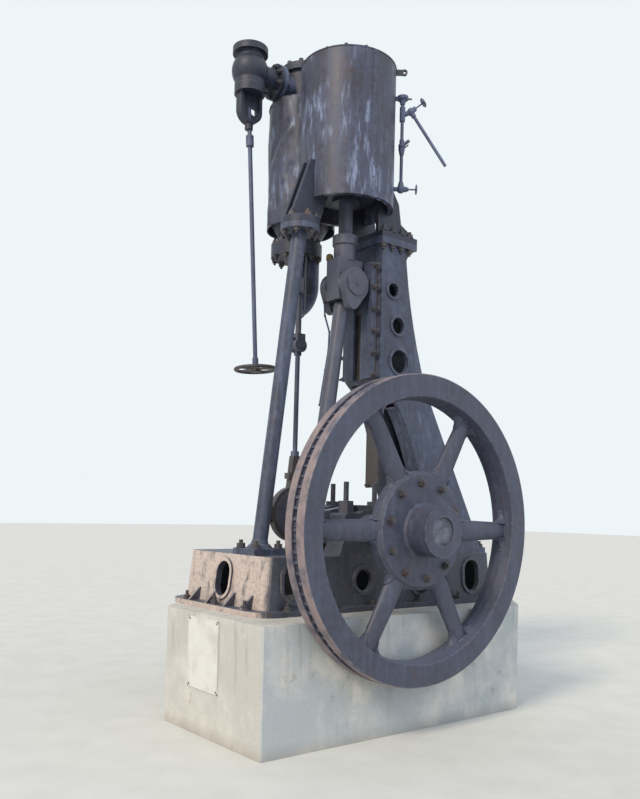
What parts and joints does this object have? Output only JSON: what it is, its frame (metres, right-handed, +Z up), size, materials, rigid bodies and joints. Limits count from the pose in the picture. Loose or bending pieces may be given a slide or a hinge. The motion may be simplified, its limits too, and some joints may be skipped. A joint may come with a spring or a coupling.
{
  "type": "stationary steam engine",
  "caption": "Upright single-cylinder steam engine on a concrete plinth: flywheel, open crank train with crosshead guide, valve gear, jacketed cylinder and steam chest.",
  "frame": {"origin": "centre of the plinth's underside", "axes": "+Z up, crankshaft along Y with the flywheel at -Y, back column towards +X"},
  "size_m": [2.9363, 2.012, 5.325],
  "materials": {
    "concrete": "weathered cast concrete",
    "notice_enamel": "matt, faded",
    "bed_paint": "weathered black paint over cast iron",
    "wheel_paint": "weathered black paint, worn at the edges",
    "frame_paint": "weathered black paint over cast iron",
    "running_steel": "dull oiled steel, painted over in places",
    "bearing_brass": "dull brass",
    "jacket_sheet": "weathered painted sheet",
    "cast_paint": "weathered black paint over cast iron",
    "guide_iron": "rusty machined iron",
    "pipe_paint": "weathered black paint on pipe",
    "bolt_iron": "rusty"
  },
  "bodies": {
    "engine": {"plinth": "concrete", "notice_plate": "notice_enamel", "bedplate": "bed_paint", "front_bearing_cap": "bed_paint", "rear_bearing_cap": "bed_paint", "crankshaft": "running_steel", "flywheel": "wheel_paint", "hub_bolts": "bolt_iron", "eccentric_sheave": "running_steel", "eccentric_strap": "guide_iron", "eccentric_rod": "frame_paint", "valve_rod": "running_steel", "valve_rod_guide": "cast_paint", "connecting_rod": "running_steel", "big_end_brasses": "bearing_brass", "crosshead": "running_steel", "rod_oil_cup": "bearing_brass", "rod_oil_pipe": "pipe_paint", "crosshead_pin": "running_steel", "piston_rod": "running_steel", "back_column": "frame_paint", "guide_plate": "guide_iron", "guide_strips": "frame_paint", "front_column": "frame_paint", "cylinder_casting": "cast_paint", "cylinder_jacket": "jacket_sheet", "cylinder_cover": "cast_paint", "lifting_lug": "cast_paint", "steam_chest": "cast_paint", "chest_bottom_cover": "cast_paint", "chest_drain_pipe": "cast_paint", "chest_jacket": "jacket_sheet", "chest_bonnet": "cast_paint", "exhaust_elbow": "pipe_paint", "inlet_pipe": "pipe_paint", "throttle_body": "cast_paint", "throttle_yoke": "cast_paint", "indicator_pipe": "pipe_paint", "indicator_cocks": "pipe_paint", "drain_tube": "pipe_paint"},
    "throttle": {"throttle_spindle": "pipe_paint", "throttle_handwheel": "bolt_iron"},
    "branch_wheel": {"branch_valve_wheel": "pipe_paint"},
    "drain_wheel": {"drain_valve_wheel": "pipe_paint"}
  },
  "joints": [
    {"name": "throttle_turn", "type": "hinge", "parent": "engine", "child": "throttle", "pos_m": [-0.796, 0.51, 4.78], "axis": [0.0378, -0.0301, -0.9988], "range_deg": [0, 1440]},
    {"name": "branch_turn", "type": "hinge", "parent": "engine", "child": "branch_wheel", "pos_m": [0.13787, -0.39075, 4.765], "axis": [0.615, -0.4927, 0.6157], "range_deg": [0, 720]},
    {"name": "drain_turn", "type": "hinge", "parent": "engine", "child": "drain_wheel", "pos_m": [0.08559, -0.34885, 4.15], "axis": [0.7804, -0.6252, 0], "range_deg": [0, 720]}
  ]
}
